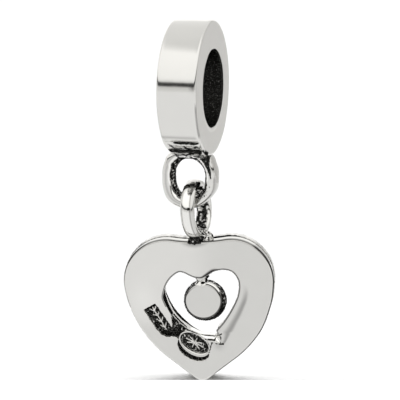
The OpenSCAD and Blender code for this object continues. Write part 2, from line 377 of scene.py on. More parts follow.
def ear():
    """The ear: a rounded flat section carried round an oval of two arcs and two straights.

    The hole's wall is black and grainy, with a painted highlight along its rim. A grainy black
    seam runs down the front of its right leg, and solder lies on the front at the top. Painted
    shade darkens a line on the left leg, a band low on the right leg, and the right flank.
    """
    n = 420
    straight, arc = EAR_HIGH - EAR_LOW, np.pi * EAR_R
    s = np.linspace(0, 2 * (arc + straight), n, endpoint=False)
    top_end, left_end, low_end = arc, arc + straight, 2 * arc + straight
    top, left_leg = s < top_end, (s >= top_end) & (s < left_end)
    low, right_leg = (s >= left_end) & (s < low_end), s >= low_end
    x, z, nx, nz = (np.zeros(n) for _ in range(4))
    for on, start, turned, height in ((top, 0.0, 0.0, EAR_HIGH), (low, left_end, np.pi, EAR_LOW)):
        t = turned + (s[on] - start) / EAR_R
        nx[on], nz[on] = np.cos(t), np.sin(t)
        x[on], z[on] = EAR_R * nx[on], height + EAR_R * nz[on]
    x[left_leg], z[left_leg], nx[left_leg] = -EAR_R, EAR_HIGH - (s[left_leg] - top_end), -1
    x[right_leg], z[right_leg], nx[right_leg] = EAR_R, EAR_LOW + (s[right_leg] - low_end), 1
    path = np.stack([x + EAR_X, 0 * x, z], 1)
    side = np.stack([nx, 0 * nx, nz], 1)
    points, a = carried_section(path, side, np.array([0.0, 1.0, 0.0]),
                                EAR_WALL / 2, EAR_DEPTH / 2, 2.5, 96)
    x, level = points[..., 0], points[..., 2]
    inward = -np.cos(a)[None, :]
    front = ramp(-np.sin(a), 0.0, 0.3)[None, :]
    noise, fine = grain(points, 0.20, 12), grain(points, 0.10, 11)
    left = ramp(0.9 - x, 0, 0.5)
    upper_right = (1 - left) * ramp(level, -5.9, -5.6)
    # where the black of the hole starts across the section, and where it thins out
    start = (0.62 - 0.22 * left * ramp(level, -6.2, -5.6) - 0.25 * upper_right
             - 0.25 * left * ramp(level, -5.1, -4.7))
    hole = ramp(inward, start, start + 0.16)
    hole = hole * (1 - (0.70 - 0.4 * fine) * ramp(0.55 + x, 0, 0.3) * ramp(-6.15 - level, 0, 0.2))
    gap, along = to_line(points[..., [0, 2]], EAR_SEAM)
    seam = ramp(0.24 - 0.14 * along + 0.05 * noise - gap, 0, 0.07) * front * ramp(1.30 - x, 0, 0.06)
    solder = ramp(level, -4.62, -4.35) * front * ramp(x, -1.15, -0.95) * ramp(1.15 - x, 0, 0.2)
    low_right = ramp(x, 0.0, 0.25) * ramp(-5.85 - level, 0, 0.3) * front
    oxide = most(hole * (0.66 + 0.45 * fine), seam * (0.85 + 0.45 * fine),
                 low_right * (0.16 + 0.55 * fine) * ramp(inward, -0.35, 0.0),
                 solder * (0.35 + 0.4 * ramp(x, 0.2, 0.8) + 0.55 * noise))
    # painted highlight along the hole's rim; painted shade: a dark line on the front of the left leg, a
    # grey band low on the right leg, and a darker right flank
    painted_rim_highlight = 0.8 * bump_at(inward, start - 0.10, 0.09)
    shade = front * (0.30 * bump_at(inward, -0.05, 0.16) * left - painted_rim_highlight
                     + 0.35 * bump_at(inward, -0.62, 0.14) * (1 - left) * ramp(-5.4 - level, 0, 0.3))
    shade = shade + 0.16 * ramp(-inward, 0.45, 0.7) * ramp(x, 0.5, 0.9)
    # the lower arc hangs to the left, and the waist is wider; both go into the points
    x -= 0.15 * ramp(-6.2 - level, 0, 1.1)
    x += 0.11 * np.sign(x - EAR_X) * bump_at(level, -4.25, 0.3) * ramp(-inward, 0, 0.5)
    rough = most(seam, hole * 0.5, solder, low_right * ramp(inward, -0.35, 0.0))
    points = points + side[:, None] * (rough * 0.03 * noise)[..., None]
    points = points + np.array([0, 1.0, 0]) * (0.06 * seam - 0.05 * solder * noise)[..., None]
    return surface("ear", points, "bail", silver, oxide, shade)


# ------------ ring

def ring():
    """The closed ring: a rounded section carried round a circle that leans and turns.

    It is polished outside, with painted dark streaks and a painted highlight along the near
    strand, a painted reflection of the room. Its hole is black at the edges of the near strand and
    grainy black on the rear one, but for a polished flange along the right.
    """
    n = 360
    t = np.linspace(0, 2 * np.pi, n, endpoint=False)
    path = np.stack([0 * t, -RING_R * np.sin(t), RING_R * np.cos(t)], 1)
    side = path / RING_R
    points, a = carried_section(path, side, np.array([1.0, 0.0, 0.0]),
                                RING_WALL / 2, RING_W / 2, 2.1, 80)
    inward, right = -np.cos(a)[None, :], np.sin(a)[None, :]
    rear = ramp(-np.sin(t), -0.15, 0.25)[:, None]
    near = ramp(np.sin(t), 0.1, 0.5)[:, None]
    high = ramp(np.cos(t), 0.72, 0.92)[:, None]
    noise, fine = grain(points, 0.30, 22), grain(points, 0.11, 21)
    hole = ramp(inward, 0.15, 0.45) * (1 - rear * ramp(right + 0.35 * noise, 0.45, 0.75))
    hole = hole * (1 - 0.85 * near * ramp(inward, 0.6, 0.8))
    cap = (high * ramp(inward + 0.3 * noise, -0.75, -0.45)
           * (1 - ramp(-np.sin(t), -0.05, 0.12)[:, None]))
    spot = (bump_at(t, np.radians(78), 0.06)[:, None] * bump_at(right, 0.42, 0.30)
            * ramp(-inward, 0.4, 0.7))
    oxide = most(hole * (0.62 + 0.55 * fine), cap * 0.95, spot * 0.85,
                 rear * (0.12 + 0.5 * fine) * ramp(right, 0.2, 0.5) * ramp(inward, -0.9, -0.5))
    # painted reflection along the near strand: dark streaks and a bright band, as a round wire mirrors the
    # room
    dark_reflection_streaks = most(0.75 * ramp(-right, 0.93, 0.99), 0.45 * bump_at(right, -0.60, 0.07),
                 0.55 * bump_at(right, 0.56, 0.07), 0.14 * ramp(right, 0.6, 0.7))
    highlight = 0.5 * ramp(right, -0.44, -0.34) * ramp(0.48 - right, 0, 0.08)
    shade = near * (dark_reflection_streaks - highlight) * ramp(-inward, 0.0, 0.2)
    rough = np.maximum(hole * rear, 0.6 * cap)
    points = points + side[:, None] * (rough * 0.07 * fine)[..., None]
    # the wire is wider on its right, and on the left of the rear strand
    points[..., 0] += (0.10 * near * ramp(right, 0, 0.9)
                       + rear * (0.05 * ramp(right, 0, 0.9) - 0.14 * ramp(-right, 0, 0.9)))
    points = put(points, turn("y", -RING_LEAN) @ turn("z", RING_YAW), (RING_SHIFT, 0, RING_Z))
    return surface("ring", points, "drop", silver, oxide, shade, ["heart_drop"])


# ------------ heart outline

def arc_points(c, r, a, b, n, skip=0):
    """Points on an arc from angle a to angle b in degrees."""
    t = np.radians(np.linspace(a, b, n + 1))[skip:]
    return np.stack([c[0] + r * np.cos(t), c[1] + r * np.sin(t)], 1)


def heart_line(grow=0.0):
    """The heart's outline from its notch round the right side to the tip, and mirrored back:
    a shallow notch arc, a lobe arc, a side arc that runs into a straight flank, and the tip.
    The right side is a little narrower above and fuller below."""
    lobe_r, lobe_x, lobe_down, lobe_end = 2.76, 2.08, 2.6, -8.0
    tip_down, tip_r, flank = 9.43, 0.8, 50.8
    notch_r = (lobe_x ** 2 + lobe_down ** 2 - lobe_r ** 2) / (2 * (lobe_r - lobe_down))
    c = np.array([lobe_x, -lobe_down])
    f = np.radians(flank)
    along = np.array([np.sin(f), np.cos(f)])
    p = c + lobe_r * direction(lobe_end)
    d = direction(-flank) - direction(lobe_end)
    side_r = (p[0] * along[1] - (p[1] + tip_down) * along[0]) / (d[1] * along[0] - d[0] * along[1])
    sc = p - side_r * direction(lobe_end)
    tc = (0.0, -tip_down + tip_r / np.sin(f))
    notch_turn = np.degrees(np.arctan2(lobe_x, notch_r + lobe_down))
    half = np.concatenate([
        arc_points((0, notch_r), notch_r - grow, -90, -90 + notch_turn, 60),
        arc_points(c, lobe_r + grow, 90 + notch_turn, lobe_end, 200, 1),
        arc_points(sc, side_r + grow, lobe_end, -flank, 120, 1),
        arc_points(tc, tip_r + grow, -flank, -90, 60, 1)])
    x, z = half.T
    right = half.copy()
    right[:, 0] += (0.12 * ramp(x, 0.5, 2.0) * ramp(-z, 4.2, 6.2)
                    - 0.09 * ramp(x, 2.0, 4.0) * ramp(z, -4.2, -2.7))
    return np.concatenate([right, half[-2:0:-1] * [-1, 1]])


# The opening, clockwise from its V seen from behind: x and z of the rim on the back, and of
# the rim on the front
OPENING = np.array([
    (0.10, -2.41, 0.10, -2.38), (-0.32, -2.34, -0.34, -2.32), (-0.62, -2.21, -0.62, -2.16),
    (-1.00, -2.02, -1.02, -1.98), (-1.34, -2.01, -1.38, -1.98), (-1.80, -2.36, -1.86, -2.34),
    (-2.10, -2.80, -2.22, -2.86), (-2.27, -3.30, -2.32, -3.30), (-2.33, -3.62, -2.33, -3.62),
    (-2.23, -3.94, -2.23, -3.94), (-2.00, -4.47, -2.00, -4.47), (-1.75, -4.89, -1.75, -4.89),
    (-1.48, -5.23, -1.48, -5.23), (-1.23, -5.51, -1.23, -5.51), (-0.93, -5.74, -0.97, -5.76),
    (-0.58, -5.88, -0.71, -6.00), (-0.24, -6.02, -0.41, -6.20), (0.02, -6.20, -0.12, -6.36),
    (0.32, -6.45, 0.32, -6.46), (0.80, -6.52, 0.70, -6.49), (1.18, -6.62, 0.82, -6.49),
    (1.17, -6.27, 1.02, -6.20), (0.99, -5.90, 1.06, -5.95), (1.20, -5.60, 1.30, -5.70),
    (1.46, -5.29, 1.56, -5.42), (1.87, -4.67, 1.97, -4.78), (2.15, -4.16, 2.25, -4.25),
    (2.38, -3.64, 2.48, -3.70), (2.49, -3.14, 2.60, -3.14), (2.50, -2.81, 2.60, -2.80),
    (2.44, -2.47, 2.52, -2.42), (2.13, -2.02, 2.18, -1.95), (1.61, -1.85, 1.62, -1.78),
    (1.04, -1.93, 1.02, -1.87), (0.72, -2.11, 0.72, -2.07), (0.42, -2.29, 0.42, -2.26)])


def curve_through(rows, n=12):
    """A closed smooth curve through rows of numbers: n steps to the next row, on a cubic set
    by the four nearest rows."""
    a, b, c, d = (np.roll(rows, k, 0)[:, None] for k in (1, 0, -1, -2))
    t = np.linspace(0, 1, n, endpoint=False)[None, :, None]
    out = 0.5 * (2 * b + (c - a) * t + (2 * a - 5 * b + 4 * c - d) * t ** 2
                 + (3 * b - a - 3 * c + d) * t ** 3)
    return out.reshape(-1, rows.shape[1])


def smooth_loop(line, count, width):
    """The closed line resampled evenly and rounded by averaging each point with its neighbours."""
    closed = np.concatenate([line, line[:1]])
    step = np.concatenate([[0], np.cumsum(np.linalg.norm(np.diff(closed, axis=0), axis=1))])
    s = np.linspace(0, step[-1], count, endpoint=False)
    even = np.stack([np.interp(s, step, closed[:, k]) for k in (0, 1)], 1)
    reach = int(width / step[-1] * count)
    kernel = np.hanning(2 * reach + 3)[1:-1]
    kernel /= kernel.sum()
    window = np.zeros(count)
    window[:reach + 1] = kernel[reach:]
    window[-reach:] = kernel[:reach]
    blur = np.fft.fft(window)
    return np.stack([np.real(np.fft.ifft(np.fft.fft(even[:, k]) * blur)) for k in (0, 1)], 1)


# The opening's middle, about which places on its rim and wall are given as angles, and the
# point where the rays start that the heart's surface is worked out on
CENTRE = np.array([0.15, -4.25])
RAYS = np.array([-0.50, -4.20])


def round_centre(p):
    """Angle of points about the opening's middle, in degrees."""
    return np.degrees(np.arctan2(p[..., 1] - CENTRE[1], p[..., 0] - CENTRE[0]))


def on_rays(line, angles):
    """Where rays at the given angles meet the line, and the line's outward normal."""
    d = line - RAYS
    a = np.arctan2(d[:, 1], d[:, 0])
    r = np.hypot(d[:, 0], d[:, 1])
    order = np.argsort(a)
    a, r = a[order], r[order]
    radius = np.interp(angles, a, r, period=2 * np.pi)
    p = RAYS + radius[:, None] * np.stack([np.cos(angles), np.sin(angles)], 1)
    along = np.roll(p, -1, 0) - np.roll(p, 1, 0)
    along /= np.linalg.norm(along, axis=1)[:, None]
    return p, np.stack([along[:, 1], -along[:, 0]], 1)


def to_line(p, line):
    """Distance from points to an open line of segments, and how far along it the nearest point is."""
    best = np.full(p.shape[:-1], 1e9)
    where = np.zeros(p.shape[:-1])
    for k in range(len(line) - 1):
        d = line[k + 1] - line[k]
        t = np.clip(((p - line[k]) @ d) / (d @ d), 0, 1)
        g = np.linalg.norm(p - (line[k] + t[..., None] * d), axis=-1)
        near = g < best
        best = np.where(near, g, best)
        where = np.where(near, (k + t) / (len(line) - 1), where)
    return best, where


def to_polygon(p, corners):
    """Signed distance to a closed polygon, negative inside."""
    corners = np.asarray(corners, float)
    gap, _ = to_line(p, np.concatenate([corners, corners[:1]]))
    inside = np.zeros(p.shape[:-1], bool)
    for k in range(len(corners)):
        a, b = corners[k], corners[(k + 1) % len(corners)]
        cross = (a[1] > p[..., 1]) != (b[1] > p[..., 1])
        with np.errstate(divide="ignore", invalid="ignore"):
            at = (b[0] - a[0]) * (p[..., 1] - a[1]) / (b[1] - a[1] + 1e-30) + a[0]
        inside ^= cross & (p[..., 0] < at)
    return np.where(inside, -gap, gap)


def to_oval(p, c, half_l, half_w, angle):
    """About the distance to an ellipse, negative inside."""
    q = (p - c) @ turn("z", angle)[:2, :2]
    k = np.hypot(q[..., 0] / half_l, q[..., 1] / half_w)
    g = np.hypot(q[..., 0] / half_l ** 2, q[..., 1] / half_w ** 2)
    return k * (k - 1) / np.maximum(g, 1e-9)


# On the back, in x and z: the corners of the sunken panel and of the ragged recess, and the
# middles of the oval tag's floor and of its rim
PANEL = [(-2.87, -4.03), (-3.60, -4.45), (-2.82, -5.74), (-2.52, -6.10), (-2.24, -6.20), (-1.84, -5.66)]
RECESS = [(-1.60, -4.40), (-1.87, -4.72), (-1.82, -5.12), (-1.78, -5.45), (-1.84, -5.62), (-2.05, -5.72),
          (-2.45, -5.95), (-2.24, -6.24), (-1.86, -6.20), (-1.57, -6.25), (-1.30, -6.60), (-0.40, -6.60),
          (0.18, -6.36), (0.30, -6.00), (-0.80, -5.50), (-1.30, -5.00)]
TAG, RIM = np.array([-0.42, -6.66]), np.array([-0.43, -6.72])

# The roll-in of the rim on the opening's right: height and width
ROLL_IN = np.array([
    (-6.95, 0.0), (-6.73, 0.26), (-6.53, 0.36), (-6.30, 0.48), (-6.10, 0.61), (-5.90, 0.70), (-5.70, 0.67),
    (-5.30, 0.62), (-4.30, 0.57), (-3.30, 0.54), (-2.90, 0.44), (-2.50, 0.0)])

# Ragged cracks at the opening's tip and beside the tag: half width and line
CRACKS = [(0.045, [(1.25, -6.27), (1.24, -6.66)]), (0.04, [(1.07, -6.24), (1.36, -6.06)]),
          (0.045, [(0.70, -6.64), (0.95, -6.70), (1.15, -6.74), (1.42, -6.72)]),
          (0.03, [(0.68, -6.62), (0.60, -7.0), (0.50, -7.26)])]


def marks(p):
    """Signed distances to the plain raised marks, negative inside: a twig of slanting strokes
    in the panel, and a small four-leaved sprig in the oval."""
    def strokes_at(middle, angle, strokes, half_w):
        q = (p - np.array(middle)) @ turn("z", angle)[:2, :2]
        return np.min([to_line(q, np.array(s))[0] for s in strokes], axis=0) - half_w

    twig = [[(x - 0.16, -0.2), (x + 0.1, 0.0), (x - 0.12, 0.22)] for x in (-0.72, -0.3, 0.12, 0.54)]
    twig.append([(-0.9, 0.02), (0.8, -0.02)])
    sprig = [[(0.08 * i, 0.07 * j), (0.42 * i, 0.2 * j)] for i in (-1, 1) for j in (-1, 1)]
    sprig += [[(-0.62, 0.0), (0.62, 0.0)], [(0.0, -0.33), (0.0, 0.33)]]
    return strokes_at((-2.62, -5.08), -59.0, twig, 0.05), strokes_at(TAG, -30.0, sprig, 0.045)


def relief(p):
    """Depth under the back plane, how black it is and how shaded, at points of the back.

    A sunken panel and a ragged recess run to the opening's rim. An oval tag with a rounded
    rim stands in a moat. On its right the opening's rim rolls in from a soft crease: the
    depth grows as q to the power 1.6, q being 0 at the crease and 1 at the rim.
    """
    x, height = p[..., 0], p[..., 1]
    flat = np.concatenate([p, 0 * p[..., :1]], -1)
    noise, broad, speck = (grain(flat, cell, seed) for cell, seed in ((0.10, 31), (0.35, 33), (0.07, 35)))
    d = np.maximum(to_polygon(p, curve_through(OPENING, 4)[:, :2]), 0)
    panel = to_polygon(p, PANEL) + 0.02 * noise
    recess = to_polygon(p, RECESS) + 0.03 * noise + 0.02 * broad
    moat = to_oval(p, RIM + [-0.06, -0.27], 1.10, 0.75, -34.0) + 0.02 * noise
    tag = to_oval(p, RIM, 1.14, 0.75, -37.0)
    floor = to_oval(p, TAG, 0.96, 0.53, -31.0)
    sunk = most(0.30 * ramp(-panel, -0.03, 0.05), 0.42 * ramp(-recess, -0.03, 0.05),
                0.36 * ramp(-moat, -0.03, 0.06))
    black = most(ramp(-panel, -0.02, 0.03), ramp(-recess, -0.02, 0.03), ramp(-moat, -0.02, 0.04))
    sunk = sunk + 0.05 * noise * black
    # the tag stands up in its moat, with a rounded rim round a sunken floor
    up = ramp(-tag, -0.03, 0.03)
    inner = ramp(-floor, -0.03, 0.03)
    round_rim = np.clip(-tag / (floor - tag + 1e-6), 0, 1)
    tag_depth = (0.02 - 0.09 * np.sin(np.pi * round_rim) * (1 - inner)
                 + (0.16 + 0.03 * noise) * inner)
    sunk = sunk * (1 - up) + tag_depth * up
    black = black * (1 - up) + inner * 0.95 * up
    twig, sprig = marks(p)
    on_panel = ramp(-twig, -0.035, 0.03) * ramp(-panel, 0.02, 0.08)
    on_tag = ramp(-sprig, -0.035, 0.03) * ramp(-floor, 0.0, 0.05)
    sunk = sunk - on_panel * (0.18 + 0.06 * broad) - on_tag * (0.12 + 0.04 * broad)
    black = black * (0.78 + 0.46 * speck) * (1 - 0.8 * np.maximum(on_panel, on_tag))
    # the rim rolls in on the right of the opening, with painted shade at the crease and a painted highlight
    # at the rim
    a = round_centre(p)
    width = np.interp(height, *ROLL_IN.T) * ramp(a, -69, -66) * ramp(40 - a, 0, 10) + 1e-6
    q = 1 - d / width
    sunk = sunk + width * 0.17 * np.maximum(q, 0) ** 1.6
    fall = ramp(height, -6.95, -6.70) * ramp(-2.7 - height, 0, 1.4)
    bright = 0.8 * ramp(q, 0.45, 0.85) * ramp(height, -6.2, -5.9)
    shade = fall * (0.44 * ramp(q, -0.32, 0.04) * ramp(0.60 - q, 0, 0.55) - bright) * (width > 0.05)
    for half_w, line in CRACKS:
        gap, _ = to_line(p, np.array(line))
        black = np.maximum(black, ramp(half_w + 0.045 * noise - gap, -0.02, 0.03) * 0.95)
    # black round the ring's foot
    foot = np.hypot((x + 0.22) / 0.50, (height - 0.04) / 0.24)
    black = np.maximum(black, ramp(1.1 - foot + 0.35 * noise, 0, 0.5) * 0.9)
    # painted shade in the V of the opening, wide on its right, along the edge of the opening, and round the
    # ring's foot
    reach = 0.07 + 0.20 * bump_at(a, 77, 11) + 0.08 * bump_at(a, 95, 14)
    shade = most(shade, ramp(1 - d / reach, 0, 0.65) * ramp(a, 20, 60) * ramp(150 - a, 0, 30),
                 0.85 * ramp(0.12 - d, 0, 0.04) * ramp(a, -64, -60) * ramp(192 - a, 0, 12),
                 0.55 * ramp(2.1 - foot, 0, 1.4))
    # painted shade growing to the right and below, a darker patch right of the tag, and a painted highlight
    # on the left
    painted_shade_drift = 0.10 * most(ramp(x, -0.7, 1.3), ramp(-4.6 - height, 0, 1.4))
    darker_patch = 0.22 * bump_at(np.hypot(x - 1.15, height + 6.78), 0, 0.32)
    painted_sheen = 0.22 * bump_at(np.hypot((x + 3.55) / 0.8, (height + 3.7) / 1.1), 0, 1)
    return sunk, black, shade + painted_shade_drift + darker_patch - painted_sheen


HEART_TURN = turn("z", 10) @ turn("y", -1.8)
HEART_AT = turn("z", 10) @ np.array([0.3, -0.08, 0.0]) + np.array([0, 0, NOTCH_Z])


def in_heart(points):
    """From the heart's own x, depth from its back, and height to the frame."""
    q = points.copy()
    q[..., 1] -= HEART_T / 2
    return put(q, HEART_TURN, HEART_AT)


# Where the light strand runs on the opening's wall: angle about the centre in degrees, its
# middle and half width as shares of the wall from back to front
STRAND = np.array([
    (-200, 0.80, 0.04), (-191, 0.62, 0.08), (-183, 0.53, 0.10), (-175, 0.50, 0.15),
    (-167, 0.43, 0.14), (-158, 0.36, 0.19), (-144, 0.31, 0.26), (-132, 0.36, 0.30),
    (-124, 0.45, 0.28), (-116, 0.58, 0.24), (-99, 0.72, 0.20), (-86, 0.78, 0.17), (-60, 0.78, 0.17)])


def wall_marks(degrees, share, place):
    """Push into the opening, black and light of the opening's wall, from the angle and the
    share of the way to the front: one light strand wanders between grainy black zones, and a
    second one follows the back rim near the tip. The V is black."""
    vee = bump_at(degrees, 80, 16)
    degrees = np.where(degrees > 90, degrees - 360, degrees)
    middle = np.interp(degrees, STRAND[:, 0], STRAND[:, 1])
    half = np.interp(degrees, STRAND[:, 0], STRAND[:, 2])
    noise = grain(place, 0.10, 71)
    strand = ramp(half - np.abs(share - middle), -0.03, 0.04)
    low = ramp(degrees, -104, -100) * ramp(0.47 - share, -0.02, 0.03)
    seen = ramp(degrees, -205, -193) * ramp(-58 - degrees, -2, 6)
    light = np.maximum(strand, low)
    between = (ramp(share - middle - half, 0.06, 0.12) * ramp(0.93 - share, 0, 0.06)
               * ramp(-130 - degrees, 0, 20))
    black = seen * (1 - light) * (1 - (0.16 + 0.25 * noise) * between)
    push = 0.05 * light * seen + 0.012 * noise * (1 - light) * seen
    return push, np.maximum(black * 1.05, vee * 0.9), light * seen


def heart_plate():
    """The heart: a closed section carried round the opening along rays from its middle.

    The section runs over the back with its relief, round the soft outer edge, down the two
    layers of the wall with a fine black line between them, over the plain front and back up
    the opening's wall.
    """
    rays, back_rows, edge_rows, front_rows, wall_rows, lip_rows = 1000, 80, 8, 6, 30, 5
    edge_r, lip_r, front_r = 0.15, 0.055, 0.2
    u = np.linspace(-np.pi, np.pi, rays, endpoint=False)
    # rays stand closer on the lower left, where the relief is
    angles = u + 0.50 * np.sin(u - np.radians(-120) + np.pi)
    angles = np.sort((angles + np.pi) % (2 * np.pi) - np.pi)
    outer, out_n = on_rays(smooth_loop(heart_line(), 3000, 0.05), angles)
    wide, _ = on_rays(smooth_loop(heart_line(LIP), 3000, 0.05), angles)
    rims = curve_through(OPENING)
    inner, in_n = on_rays(smooth_loop(rims[:, :2], 4000, 0.02), angles)
    front, _ = on_rays(smooth_loop(rims[:, 2:], 4000, 0.02), angles)
    t = np.linspace(0, 1, back_rows)[None, :, None]
    a, b = (inner + in_n * lip_r)[:, None], (outer - out_n * edge_r)[:, None]
    back = a + (b - a) * t
    flat, black, tone = relief(back)
    rim = flat[:, :1]
    parts, depth, oxide, shade = [back], [flat], [black], [tone]

    def add(xz, y, dark=0.0, tone=0.0):
        parts.append(xz[:, None])
        for column, value in ((depth, y), (oxide, dark), (shade, tone)):
            column.append(np.broadcast_to(value, rays)[:, None])

    def rough_along(line, cell, seed):
        return grain(np.stack([line[:, 0], 0 * angles, line[:, 1]], -1), cell, seed)

    # the soft outer edge and the wall of the back layer, with a painted dark reflection line along the edge
    # that runs onto the wall's first rows
    degrees = round_centre(outer)
    line = most(ramp(degrees, -87, -74) * ramp(60 - degrees, 0, 16),
                0.9 * bump_at(degrees, 141, 24), 0.45 * bump_at(degrees, 180, 30),
                0.6 * ramp(degrees, 30, 45) * ramp(140 - degrees, 0, 10))
    foot = 1.1 * ramp(0.52 - np.abs(outer[:, 0] + 0.22), 0, 0.2) * ramp(outer[:, 1], -1, -0.5)
    for k in range(1, edge_rows + 1):
        f = np.radians(90 * k / edge_rows)
        add(outer - out_n * edge_r * (1 - np.sin(f)), edge_r * (1 - np.cos(f)), foot,
            1.15 * line * ramp(k, 1.8, 2.8))
    seam = (0.75 + 0.5 * rough_along(outer, 0.15, 38)) * bump_at(degrees, 76, 12)
    for y, out, dark in ((0.22, 0, 0), (0.4, 0, 0), (0.7, 0, 0), (BACK_T - 0.07, 0, seam),
                         (BACK_T - 0.04, -0.03, 0.7), (BACK_T + 0.04, -0.03, 0.7)):
        add(outer + out_n * out, y, np.maximum(dark, foot * (0.9 - y > 0)),
            line * 0.9 * ramp(0.3 - y, 0, 0.1))
    # the wall of the front layer, darker and mottled at the top, its rounded edge and the front
    tier = (ramp(degrees, 5, 40) * ramp(175 - degrees, 0, 30)
            * (0.42 + 0.75 * rough_along(wide, 0.22, 37)) * (0.3 + 0.7 * ramp(degrees, 80, 100)))
    for y, dark in ((BACK_T + 0.08, seam), (BACK_T + 0.14, seam), (1.2, 0.0)):
        add(wide, y, dark, tier)
    for k in range(front_rows + 1):
        f = np.radians(90 * k / front_rows)
        add(wide - out_n * front_r * (1 - np.cos(f)), HEART_T - front_r * (1 - np.sin(f)), 0.0,
            tier * (1 + 0.3 * k) * ramp(5 - k, 0, 3))
    c, d = wide - out_n * front_r, front + in_n * 0.05
    for t in (0.33, 0.66, 1.0):
        add(c + (d - c) * t, HEART_T)
    # the opening's wall, from the front to the back, and its rounded lip
    k = np.linspace(0, 1, wall_rows)[None, ::-1]
    y = rim + lip_r + (HEART_T - 0.03 - rim - lip_r) * k
    share = y / HEART_T
    mixed = ramp(share, 0.0, 0.22)[..., None]
    wall = inner[:, None] * (1 - mixed) + front[:, None] * mixed
    place = np.concatenate([wall, y[..., None]], -1)
    degrees = round_centre(inner)
    push, dark, light = wall_marks(degrees[:, None], share, place)
    wall = wall - in_n[:, None] * (push * ramp(k, 0, 0.1) * ramp(1 - k, 0, 0.05))[..., None]
    parts.append(wall)
    depth.append(y)
    oxide.append(dark)
    # painted highlight: the polished light strands are painted brighter still
    shade.append(-0.75 * light)
    # painted shade: a dark line along the rounded lip, from the opening's lower right round its top to the
    # left
    lip = ramp(degrees, -66, -62) * ramp(188 - degrees, 0, 12)
    for k in range(1, lip_rows):
        f = np.radians(90 * k / lip_rows)
        add(inner + in_n * lip_r * (1 - np.cos(f)), rim[:, 0] + lip_r * (1 - np.sin(f)),
            dark[:, -1] * (1 - k / lip_rows), 0.9 * lip * (1 - 0.15 * k))
    xz, y, oxide, shade = (np.concatenate(v, 1) for v in (parts, depth, oxide, shade))
    points = in_heart(np.stack([xz[..., 0], y, xz[..., 1]], -1))
    return surface("heart_plate", points, "drop", silver, oxide, shade)


# ------------ cup and neck

def cup():
    """The cup: an upright flat disc, a little darker on its face, with painted shade along its edge,
    then a black grainy side, carried forward along a line that sinks while its radius grows. On
    the upper right of its shoulder a polished crescent swells a little and carries a painted highlight."""
    r0, r1, t, edge_depth = 1.19, 1.38, 1.3, 0.16
    flat_share, rows, sink, lean = 0.84, 240, 0.17, 0.03
    middle = np.array([0.21, 0.08, -3.88])
    prof = [(0.0, 0.0)] + [(r0 * k / 12 * flat_share, 0.0) for k in range(1, 13)]
    for k in range(1, 13):
        f = np.radians(90 * k / 12)
        prof.append((r0 * (flat_share + (1 - flat_share) * np.sin(f)), edge_depth * (1 - np.cos(f))))
    for k in range(1, 21):
        q = k / 20
        prof.append((r0 + (r1 - r0) * (0.25 * q + 0.75 * q ** 0.6), edge_depth + (t - 0.3) * q))
    prof += [(r1, t - 0.06), (r1 - 0.03, t - 0.015), (r1 - 0.08, t), (r1 * 0.6, t), (r1 * 0.3, t), (0.0, t)]
    radius, y = (np.broadcast_to(column, (rows, len(prof))) for column in np.array(prof).T)
    a = np.linspace(0, 2 * np.pi, rows, endpoint=False)[:, None]
    points = np.stack([radius * np.cos(a), y, radius * np.sin(a)], -1)
    noise = grain(points, 0.12, 41)
    upper = bump_at(np.degrees(a), 62, 34)
    # the crescent is polished and swells a little, and is painted bright: a painted highlight
    crescent = ramp(upper, 0.1, 0.5) * ramp(y, 0.062, 0.075) * ramp(0.06 + 0.26 * upper - y, 0, 0.04)
    side = ramp(y, 0.12, 0.18) * ramp(t - y, 0.02, 0.06)
    # painted shade: a dark line round the disc's rounded edge but on the upper right, a dark band on the
    # side next to the edge, and a dark line just inside the crescent
    edge = ramp(y, 0.012, 0.03) * ramp(0.22 - y, 0, 0.05)
    edge = edge * (1 - ramp(y, 0.03, 0.05) * ramp(upper, 0.1, 0.5))
    edge = edge + (1 - upper) * ramp(y, 0.17, 0.22) * ramp(0.34 - y, 0, 0.1)
    edge = edge + 1.1 * ramp(upper, 0.1, 0.4) * ramp(y, 0.008, 0.02) * ramp(0.065 - y, 0, 0.01)
    # the side is less black on its upper half
    less_black_above = ramp(np.sin(a), -0.5, 0.1) * ramp(y, 0.22, 0.34) * ramp(1.1 - y, 0, 0.2)
    oxide = side * (0.76 + 0.36 * noise - 0.17 * less_black_above) * (1 - crescent)
    # the painted shade above, a slightly darker face, and the crescent's painted highlight
    shade = most(0.85 * edge, 0.11 * ramp(0.02 - y, 0, 0.02)) - 0.8 * crescent
    points[..., [0, 2]] *= (1 + side * 0.015 * noise + 0.06 * crescent)[..., None]
    points = put(points, turn("x", -4), middle)
    points[..., 0] += lean * (points[..., 1] - middle[1])
    points[..., 2] -= sink * (points[..., 1] - middle[1])
    return surface("cup", in_heart(points), "drop", silver, oxide, shade, poles=True)


